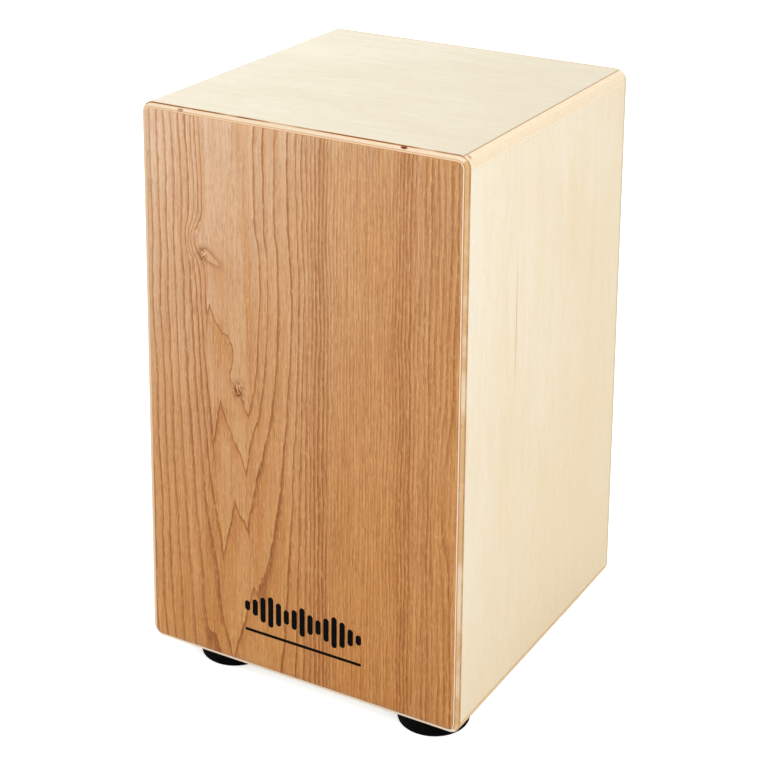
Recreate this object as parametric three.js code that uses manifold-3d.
// Cajon: a box drum of birch plywood with a veneered playing panel, a sound hole at the back, four
// rubber feet and a snare bar that turns inside the box. Millimetres, +Z up. The origin is on the
// floor under the middle of the box, the playing panel looks along -Y, and +X is on the right of
// someone who faces the playing panel.

import * as THREE from 'three';
import { mergeVertices } from 'three/addons/utils/BufferGeometryUtils.js';
import Module from 'manifold-3d';

const wasm = await Module();
wasm.setup();

// ---- driving dimensions ----------------------------------------------------------------------

// the box
const BOX_WIDTH = 300;
const BOX_DEPTH = 300;
const BOX_HEIGHT = 483;
const WALL = 12.5; // seat, bottom and side panels
const SKIN = 4; // playing panel and back panel
const BOX_EDGE_RADIUS = 10; // the four long edges that run from front to back
const PLAYING_EDGE_RADIUS = 13; // the soft edge all round the playing panel
const PLAYING_EDGE_LAND = 0.2; // square edge left at the rear of the playing panel
const BATTEN = 15;
const BATTEN_CHAMFER = 6;

// the sound hole in the back panel
const SOUND_HOLE_RADIUS = 60;
const SOUND_HOLE_HEIGHT = 316;

// the feet
const FOOT_HEIGHT = 17;
const FOOT_TOP_RADIUS = 33;
const FOOT_TOP_CHAMFER = 1;
const FOOT_BOTTOM_RADIUS = 30;
const FOOT_EDGE_RADIUS = 2.4;
const FOOT_RECESS_RADIUS = 9;
const FOOT_WEB = 8; // rubber left above the recess
const FOOT_PLACES = [
  { name: 'front_left', x: -90.5, y: -107.5 },
  { name: 'front_right', x: 107.5, y: -111 },
  { name: 'rear_left', x: -99, y: 109 },
  { name: 'rear_right', x: 99, y: 109 },
];
const WASHER_RADIUS = 7;
const WASHER_THICKNESS = 1.2;

// the snare bar and its bearing blocks
const DOWEL_RADIUS = 10;
const DOWEL_FLAT_DEPTH = 1.5;
const JOURNAL_RADIUS = 6.5;
const DOWEL_HEIGHT = SOUND_HOLE_HEIGHT;
const BLOCK_THICKNESS = 16;
const BLOCK_DEPTH = 23;
const BLOCK_HEIGHT = 62;
const BLOCK_CHAMFER = 3;
const BLOCK_SCREW_SPREAD = 44;

// the snare wires
const FAN_OFFSET = 62; // from the middle of the bar to the middle of each fan
const STRAND_COUNT = 10;
const STRAND_PITCH = 5.5;
const STRAND_RADIUS = 1.2;
const STRAND_START = 6; // above the axis of the bar
const STRAND_END = 154;
const PLATE_WIDTH = 58;
const PLATE_THICKNESS = 1.5;
const PLATE_BELOW = 5; // below the axis of the bar
const PLATE_ABOVE = 16;
const PLATE_SCREW_SPREAD = 40;
const SOLDER_DEPTH = 0.3; // how far the wires sink into the plate

// screws: head radius, head height, shank radius, shank length
const FOOT_SCREW = { headRadius: 4.6, headHeight: 3, shankRadius: 2.2, shankLength: 19.5 };
const BLOCK_SCREW = { headRadius: 3.8, headHeight: 2.4, shankRadius: 1.8, shankLength: 25 };
const PLATE_SCREW = { headRadius: 2.6, headHeight: 1.8, shankRadius: 1.3, shankLength: 11 };
const HEAD_OUTLINE = [[0.55, 1], [0.9, 0.55], [1, 0.25], [1, 0]]; // shares of head radius and height
const SLOT_LENGTH = 1.1; // of the cross in a screw head, in head radii
const SLOT_WIDTH = 0.24; // in head radii
const SLOT_DEPTH = 0.6; // in head heights
const POINT_LENGTH = 1.6; // of a screw, in shank radii

const GAP = 0.3; // running and cutting clearance
const END_PLAY = 1; // of the snare bar between its blocks
const TOOL_MARGIN = 5; // how far a cutter reaches past the piece that it cuts
const ROUND_STEPS = 4; // half the arc steps in a quarter turn of an edge
const HOLE_STEPS = 20;
const SCREW_STEPS = 16;
const WASHER_STEPS = 24;
const DOWEL_STEPS = 32;
const FOOT_STEPS = 40;
const STRAND_STEPS = 8;
const WELD = 1e-4; // corners closer than this are one corner

// ---- places worked out from them -------------------------------------------------------------

const BODY_DEPTH = BOX_DEPTH - 2 * SKIN;
const SIDE_HEIGHT = BOX_HEIGHT - 2 * WALL;
const BOX_MIDDLE = FOOT_HEIGHT + BOX_HEIGHT / 2;
const BOX_TOP = FOOT_HEIGHT + BOX_HEIGHT;
const INNER_HALF_WIDTH = BOX_WIDTH / 2 - WALL;
const PLAYING_PANEL_BACK = -BOX_DEPTH / 2 + SKIN;

const STRAND_DEPTH = PLAYING_PANEL_BACK + GAP + STRAND_RADIUS;
const PLATE_FRONT = STRAND_DEPTH + STRAND_RADIUS - SOLDER_DEPTH;
const FLAT_DISTANCE = DOWEL_RADIUS - DOWEL_FLAT_DEPTH;
const DOWEL_DEPTH = PLATE_FRONT + PLATE_THICKNESS + FLAT_DISTANCE;

const QUARTER_TURN = Math.PI / 2;

// ---- finishes --------------------------------------------------------------------------------

function finish(color, roughness, metalness) {
  return new THREE.MeshStandardMaterial({ color, roughness, metalness });
}

const VENEER = finish(0xc8935c, 0.45, 0);
const BIRCH = finish(0xf0e2c6, 0.5, 0);
const BIRCH_SKIN = finish(0xe9d8b8, 0.55, 0);
const SOFTWOOD = finish(0xe0c79a, 0.65, 0);
const BEECH = finish(0xd9b489, 0.5, 0);
const RUBBER = finish(0x141414, 0.75, 0);
const STEEL = finish(0xb9bcc0, 0.35, 1);
const BLACK_STEEL = finish(0x2b2b2d, 0.45, 1);

// ---- helpers ---------------------------------------------------------------------------------

// a solid that manifold-3d can cut, from any closed three.js geometry
function solidOf(geometry) {
  const bare = geometry.clone();
  bare.deleteAttribute('normal');
  bare.deleteAttribute('uv');
  const welded = mergeVertices(bare, WELD);
  const corners = welded.index.array;
  const triangles = [];
  for (let i = 0; i < corners.length; i += 3) {
    const [a, b, c] = corners.slice(i, i + 3);
    if (a !== b && b !== c && c !== a) triangles.push(a, b, c);
  }
  return new wasm.Manifold(new wasm.Mesh({
    numProp: 3,
    vertProperties: new Float32Array(welded.attributes.position.array),
    triVerts: new Uint32Array(triangles),
  }));
}

function geometryOf(solid) {
  const mesh = solid.getMesh();
  const geometry = new THREE.BufferGeometry();
  geometry.setAttribute('position', new THREE.BufferAttribute(mesh.vertProperties, 3));
  geometry.setIndex(new THREE.BufferAttribute(mesh.triVerts, 1));
  geometry.computeVertexNormals();
  return geometry;
}

function cut(geometry, cutters) {
  const solid = cutters.reduce((rest, cutter) => rest.subtract(solidOf(cutter)), solidOf(geometry));
  return geometryOf(solid);
}

function join(geometries) {
  const [first, ...others] = geometries.map(solidOf);
  return geometryOf(others.reduce((whole, other) => whole.add(other), first));
}

function piece(name, geometry, material, x, y, z) {
  const mesh = new THREE.Mesh(geometry, material);
  mesh.name = name;
  mesh.position.set(x, y, z);
  return mesh;
}

// a rectangle about the origin; each corner is square where its radius is zero
function roundedRectangle(width, height, topRadius, bottomRadius) {
  const x = width / 2;
  const y = height / 2;
  const shape = new THREE.Shape();
  shape.moveTo(-x + bottomRadius, -y);
  shape.lineTo(x - bottomRadius, -y);
  if (bottomRadius > 0) shape.absarc(x - bottomRadius, -y + bottomRadius, bottomRadius, -QUARTER_TURN, 0);
  shape.lineTo(x, y - topRadius);
  if (topRadius > 0) shape.absarc(x - topRadius, y - topRadius, topRadius, 0, QUARTER_TURN);
  shape.lineTo(-x + topRadius, y);
  if (topRadius > 0) shape.absarc(-x + topRadius, y - topRadius, topRadius, QUARTER_TURN, 2 * QUARTER_TURN);
  shape.lineTo(-x, -y + bottomRadius);
  if (bottomRadius > 0) {
    shape.absarc(-x + bottomRadius, -y + bottomRadius, bottomRadius, 2 * QUARTER_TURN, 3 * QUARTER_TURN);
  }
  return shape;
}

// an outline drawn in X and Z, drawn out along Y and centred on the origin
function extrudeAlongY(shape, depth) {
  const geometry = new THREE.ExtrudeGeometry(shape, {
    depth,
    bevelEnabled: false,
    curveSegments: ROUND_STEPS,
  });
  geometry.rotateX(QUARTER_TURN);
  geometry.translate(0, depth / 2, 0);
  return geometry;
}

// a profile of [radius, height] points turned about Z
function turnAboutZ(profile, segments) {
  const points = profile.map(([radius, height]) => new THREE.Vector2(radius, height));
  const geometry = new THREE.LatheGeometry(points, segments);
  geometry.rotateX(QUARTER_TURN);
  return geometry;
}

// a round cutter along Z, standing on the origin
function drill(radius, length, steps = HOLE_STEPS) {
  const geometry = new THREE.CylinderGeometry(radius, radius, length, steps);
  geometry.rotateX(QUARTER_TURN);
  geometry.translate(0, 0, length / 2);
  return geometry;
}

// a cross-head screw: the underside of its head is at the origin and its point looks along +Z
function screw({ headRadius, headHeight, shankRadius, shankLength }) {
  const body = turnAboutZ([
    [0, -headHeight],
    ...HEAD_OUTLINE.map(([radius, height]) => [radius * headRadius, -height * headHeight]),
    [shankRadius, 0],
    [shankRadius, shankLength - POINT_LENGTH * shankRadius],
    [0, shankLength],
  ], SCREW_STEPS);
  const slots = [0, QUARTER_TURN].map((turn) => {
    const slot = new THREE.BoxGeometry(
      SLOT_LENGTH * headRadius,
      SLOT_WIDTH * headRadius,
      2 * SLOT_DEPTH * headHeight,
    );
    slot.rotateZ(turn);
    slot.translate(0, 0, -headHeight);
    return slot;
  });
  return cut(body, slots);
}

// ---- the box ---------------------------------------------------------------------------------

// The playing panel's front edge is an arc that starts level with the face and leaves the panel
// at its rear edge, before a full quarter turn. The arc is the rim of a thicker block.
function playingPanel() {
  const reach = SKIN - PLAYING_EDGE_LAND;
  const arcWidth = Math.sqrt(2 * PLAYING_EDGE_RADIUS * reach - reach * reach);
  const overhang = PLAYING_EDGE_RADIUS - arcWidth;
  const block = new THREE.ExtrudeGeometry(
    roundedRectangle(
      BOX_WIDTH + 2 * overhang,
      BOX_HEIGHT + 2 * overhang,
      BOX_EDGE_RADIUS + overhang,
      BOX_EDGE_RADIUS + overhang,
    ),
    {
      depth: PLAYING_EDGE_RADIUS,
      curveSegments: ROUND_STEPS,
      bevelThickness: PLAYING_EDGE_RADIUS,
      bevelSize: PLAYING_EDGE_RADIUS,
      bevelOffset: -PLAYING_EDGE_RADIUS,
      bevelSegments: 2 * ROUND_STEPS,
    },
  );
  block.rotateX(QUARTER_TURN);
  block.translate(0, -SKIN / 2 + 2 * PLAYING_EDGE_RADIUS, 0);
  const board = extrudeAlongY(
    roundedRectangle(BOX_WIDTH, BOX_HEIGHT, BOX_EDGE_RADIUS, BOX_EDGE_RADIUS),
    SKIN,
  );
  const panel = solidOf(board).intersect(solidOf(block));
  return piece('playing_panel', geometryOf(panel), VENEER, 0, -(BOX_DEPTH - SKIN) / 2, BOX_MIDDLE);
}

function backPanel() {
  const board = extrudeAlongY(
    roundedRectangle(BOX_WIDTH, BOX_HEIGHT, BOX_EDGE_RADIUS, BOX_EDGE_RADIUS),
    SKIN,
  );
  const hole = drill(SOUND_HOLE_RADIUS, SKIN + 2 * TOOL_MARGIN, 3 * HOLE_STEPS);
  hole.rotateX(-QUARTER_TURN);
  hole.translate(0, -SKIN / 2 - TOOL_MARGIN, SOUND_HOLE_HEIGHT - BOX_MIDDLE);
  return piece('back_panel', cut(board, [hole]), BIRCH_SKIN, 0, (BOX_DEPTH - SKIN) / 2, BOX_MIDDLE);
}

function seatPanel() {
  const geometry = extrudeAlongY(roundedRectangle(BOX_WIDTH, WALL, BOX_EDGE_RADIUS, 0), BODY_DEPTH);
  return piece('seat_panel', geometry, BIRCH, 0, 0, BOX_TOP - WALL / 2);
}

// pilot holes for the foot screws are drilled up into its underside
function bottomPanel() {
  const board = extrudeAlongY(roundedRectangle(BOX_WIDTH, WALL, 0, BOX_EDGE_RADIUS), BODY_DEPTH);
  const depth = FOOT_SCREW.shankLength - FOOT_WEB - WASHER_THICKNESS + GAP;
  const holes = FOOT_PLACES.map(({ x, y }) => {
    const hole = drill(FOOT_SCREW.shankRadius + GAP, depth + TOOL_MARGIN);
    hole.translate(x, y, -WALL / 2 - TOOL_MARGIN);
    return hole;
  });
  return piece('bottom_panel', cut(board, holes), BIRCH, 0, 0, FOOT_HEIGHT + WALL / 2);
}

// side: -1 left, +1 right; its inner face has pilot holes for the screws of the bearing block
function sidePanel(name, side) {
  const board = new THREE.BoxGeometry(WALL, BODY_DEPTH, SIDE_HEIGHT);
  const depth = BLOCK_SCREW.shankLength - BLOCK_THICKNESS + GAP;
  const holes = [-1, 1].map((end) => {
    const hole = drill(BLOCK_SCREW.shankRadius + GAP, depth + TOOL_MARGIN);
    hole.rotateY(side * QUARTER_TURN);
    hole.translate(
      -side * (WALL / 2 + TOOL_MARGIN),
      DOWEL_DEPTH,
      DOWEL_HEIGHT - BOX_MIDDLE + end * BLOCK_SCREW_SPREAD / 2,
    );
    return hole;
  });
  return piece(name, cut(board, holes), BIRCH, side * (BOX_WIDTH - WALL) / 2, 0, BOX_MIDDLE);
}

// a glue batten in one long corner of the box, with its inner edge planed off
function batten(name, side, upper) {
  const half = BATTEN / 2;
  const shape = new THREE.Shape();
  shape.moveTo(side * half, upper * half);
  shape.lineTo(-side * half, upper * half);
  shape.lineTo(-side * half, -upper * (half - BATTEN_CHAMFER));
  shape.lineTo(-side * (half - BATTEN_CHAMFER), -upper * half);
  shape.lineTo(side * half, -upper * half);
  shape.closePath();
  const x = side * (INNER_HALF_WIDTH - half);
  const z = BOX_MIDDLE + upper * (SIDE_HEIGHT / 2 - half);
  return piece(name, extrudeAlongY(shape, BODY_DEPTH), SOFTWOOD, x, 0, z);
}

// ---- the feet --------------------------------------------------------------------------------

function rubberFoot() {
  const profile = [[FOOT_RECESS_RADIUS, 0]];
  for (let i = 0; i <= ROUND_STEPS; i += 1) {
    const turn = (i / ROUND_STEPS) * QUARTER_TURN;
    profile.push([
      FOOT_BOTTOM_RADIUS - FOOT_EDGE_RADIUS * (1 - Math.sin(turn)),
      FOOT_EDGE_RADIUS * (1 - Math.cos(turn)),
    ]);
  }
  const boreRadius = FOOT_SCREW.shankRadius + 2 * GAP;
  profile.push(
    [FOOT_TOP_RADIUS, FOOT_HEIGHT - FOOT_TOP_CHAMFER],
    [FOOT_TOP_RADIUS - FOOT_TOP_CHAMFER, FOOT_HEIGHT],
    [boreRadius, FOOT_HEIGHT],
    [boreRadius, FOOT_HEIGHT - FOOT_WEB],
    [FOOT_RECESS_RADIUS, FOOT_HEIGHT - FOOT_WEB],
    [FOOT_RECESS_RADIUS, 0],
  );
  return turnAboutZ(profile, FOOT_STEPS);
}

function footWasher() {
  const bore = FOOT_SCREW.shankRadius + GAP;
  return turnAboutZ([
    [bore, -WASHER_THICKNESS],
    [WASHER_RADIUS, -WASHER_THICKNESS],
    [WASHER_RADIUS, 0],
    [bore, 0],
    [bore, -WASHER_THICKNESS],
  ], WASHER_STEPS);
}

function foot({ name, x, y }) {
  const group = new THREE.Group();
  const washerTop = FOOT_HEIGHT - FOOT_WEB;
  group.position.set(x, y, 0);
  group.add(
    piece(`rubber_foot_${name}`, rubberFoot(), RUBBER, 0, 0, 0),
    piece(`foot_washer_${name}`, footWasher(), STEEL, 0, 0, washerTop),
    piece(`foot_screw_${name}`, screw(FOOT_SCREW), STEEL, 0, 0, washerTop - WASHER_THICKNESS),
  );
  return group;
}

// ---- the snare bar ---------------------------------------------------------------------------

// a block on the inside of each side panel, bored for the journal of the bar
function bearingBlock(name, side) {
  const shape = new THREE.Shape();
  const halfDepth = BLOCK_DEPTH / 2;
  const halfHeight = BLOCK_HEIGHT / 2;
  shape.moveTo(-halfDepth, -halfHeight + BLOCK_CHAMFER);
  shape.lineTo(-halfDepth + BLOCK_CHAMFER, -halfHeight);
  shape.lineTo(halfDepth - BLOCK_CHAMFER, -halfHeight);
  shape.lineTo(halfDepth, -halfHeight + BLOCK_CHAMFER);
  shape.lineTo(halfDepth, halfHeight - BLOCK_CHAMFER);
  shape.lineTo(halfDepth - BLOCK_CHAMFER, halfHeight);
  shape.lineTo(-halfDepth + BLOCK_CHAMFER, halfHeight);
  shape.lineTo(-halfDepth, halfHeight - BLOCK_CHAMFER);
  shape.closePath();
  const board = extrudeAlongY(shape, BLOCK_THICKNESS);
  board.rotateZ(QUARTER_TURN);
  const cutters = [[JOURNAL_RADIUS + GAP, 0]];
  for (const end of [-1, 1]) cutters.push([BLOCK_SCREW.shankRadius + GAP, end * BLOCK_SCREW_SPREAD / 2]);
  const bores = cutters.map(([radius, height]) => {
    const bore = drill(radius, BLOCK_THICKNESS + 2 * TOOL_MARGIN);
    bore.rotateY(QUARTER_TURN);
    bore.translate(-BLOCK_THICKNESS / 2 - TOOL_MARGIN, 0, height);
    return bore;
  });
  const x = side * (INNER_HALF_WIDTH - BLOCK_THICKNESS / 2);
  return piece(name, cut(board, bores), BEECH, x, DOWEL_DEPTH, DOWEL_HEIGHT);
}

function blockScrew(name, side, end) {
  const x = side * (INNER_HALF_WIDTH - BLOCK_THICKNESS);
  const z = DOWEL_HEIGHT + end * BLOCK_SCREW_SPREAD / 2;
  const mesh = piece(name, screw(BLOCK_SCREW), BLACK_STEEL, x, DOWEL_DEPTH, z);
  mesh.rotation.y = side * QUARTER_TURN;
  return mesh;
}

// the places along the bar where the plate screws go in
function plateScrewPlaces() {
  return [-1, 1].flatMap((fan) => [-1, 1].map((end) => fan * FAN_OFFSET + end * PLATE_SCREW_SPREAD / 2));
}

// a beech bar along X with a turned journal at each end and a flat in front for the wire plates
function snareDowel() {
  const shoulder = INNER_HALF_WIDTH - BLOCK_THICKNESS - END_PLAY;
  const end = INNER_HALF_WIDTH - END_PLAY;
  const bar = turnAboutZ([
    [0, -end],
    [JOURNAL_RADIUS, -end],
    [JOURNAL_RADIUS, -shoulder],
    [DOWEL_RADIUS, -shoulder],
    [DOWEL_RADIUS, shoulder],
    [JOURNAL_RADIUS, shoulder],
    [JOURNAL_RADIUS, end],
    [0, end],
  ], DOWEL_STEPS);
  bar.rotateY(QUARTER_TURN);
  const flat = new THREE.BoxGeometry(
    2 * (FAN_OFFSET + PLATE_WIDTH / 2 + GAP),
    2 * DOWEL_FLAT_DEPTH,
    2 * DOWEL_RADIUS,
  );
  flat.translate(0, -FLAT_DISTANCE - DOWEL_FLAT_DEPTH, 0);
  const holes = plateScrewPlaces().map((x) => {
    const hole = drill(PLATE_SCREW.shankRadius + GAP, PLATE_SCREW.shankLength + TOOL_MARGIN);
    hole.rotateX(-QUARTER_TURN);
    hole.translate(x, -FLAT_DISTANCE - TOOL_MARGIN, 0);
    return hole;
  });
  return piece('snare_dowel', cut(bar, [flat, ...holes]), BEECH, 0, 0, 0);
}

// a fan of coiled wires on a steel plate; the wires stand up behind the playing panel
function snareWires(name, side) {
  const plateY = PLATE_FRONT - DOWEL_DEPTH + PLATE_THICKNESS / 2;
  const plate = new THREE.BoxGeometry(PLATE_WIDTH, PLATE_THICKNESS, PLATE_ABOVE + PLATE_BELOW);
  plate.translate(0, plateY, (PLATE_ABOVE - PLATE_BELOW) / 2);
  const holes = [-1, 1].map((end) => {
    const hole = drill(PLATE_SCREW.shankRadius + GAP, PLATE_THICKNESS + 2 * TOOL_MARGIN);
    hole.rotateX(-QUARTER_TURN);
    hole.translate(end * PLATE_SCREW_SPREAD / 2, plateY - TOOL_MARGIN - PLATE_THICKNESS / 2, 0);
    return hole;
  });
  const strands = [];
  for (let i = 0; i < STRAND_COUNT; i += 1) {
    const length = STRAND_END - STRAND_START;
    const strand = new THREE.CylinderGeometry(STRAND_RADIUS, STRAND_RADIUS, length, STRAND_STEPS);
    strand.rotateX(QUARTER_TURN);
    strand.translate(
      (i - (STRAND_COUNT - 1) / 2) * STRAND_PITCH,
      STRAND_DEPTH - DOWEL_DEPTH,
      STRAND_START + length / 2,
    );
    strands.push(strand);
  }
  return piece(name, join([cut(plate, holes), ...strands]), STEEL, side * FAN_OFFSET, 0, 0);
}

function plateScrew(name, x) {
  const mesh = piece(name, screw(PLATE_SCREW), BLACK_STEEL, x, PLATE_FRONT - DOWEL_DEPTH, 0);
  mesh.rotation.x = -QUARTER_TURN;
  return mesh;
}

// everything that turns about the axis of the bar
function snareUnit() {
  const group = new THREE.Group();
  group.position.set(0, DOWEL_DEPTH, DOWEL_HEIGHT);
  group.add(snareDowel(), snareWires('snare_wires_left', -1), snareWires('snare_wires_right', 1));
  plateScrewPlaces().forEach((x, index) => group.add(plateScrew(`plate_screw_${index + 1}`, x)));
  return group;
}

// ---- assembly --------------------------------------------------------------------------------

const group = new THREE.Group();
group.add(playingPanel(), backPanel(), seatPanel(), bottomPanel());
for (const [sideName, side] of [['left', -1], ['right', 1]]) {
  group.add(sidePanel(`${sideName}_side_panel`, side));
  group.add(batten(`upper_${sideName}_batten`, side, 1));
  group.add(batten(`lower_${sideName}_batten`, side, -1));
  group.add(bearingBlock(`snare_block_${sideName}`, side));
  group.add(blockScrew(`block_screw_${sideName}_lower`, side, -1));
  group.add(blockScrew(`block_screw_${sideName}_upper`, side, 1));
}
for (const place of FOOT_PLACES) group.add(foot(place));
group.add(snareUnit());

export default group;
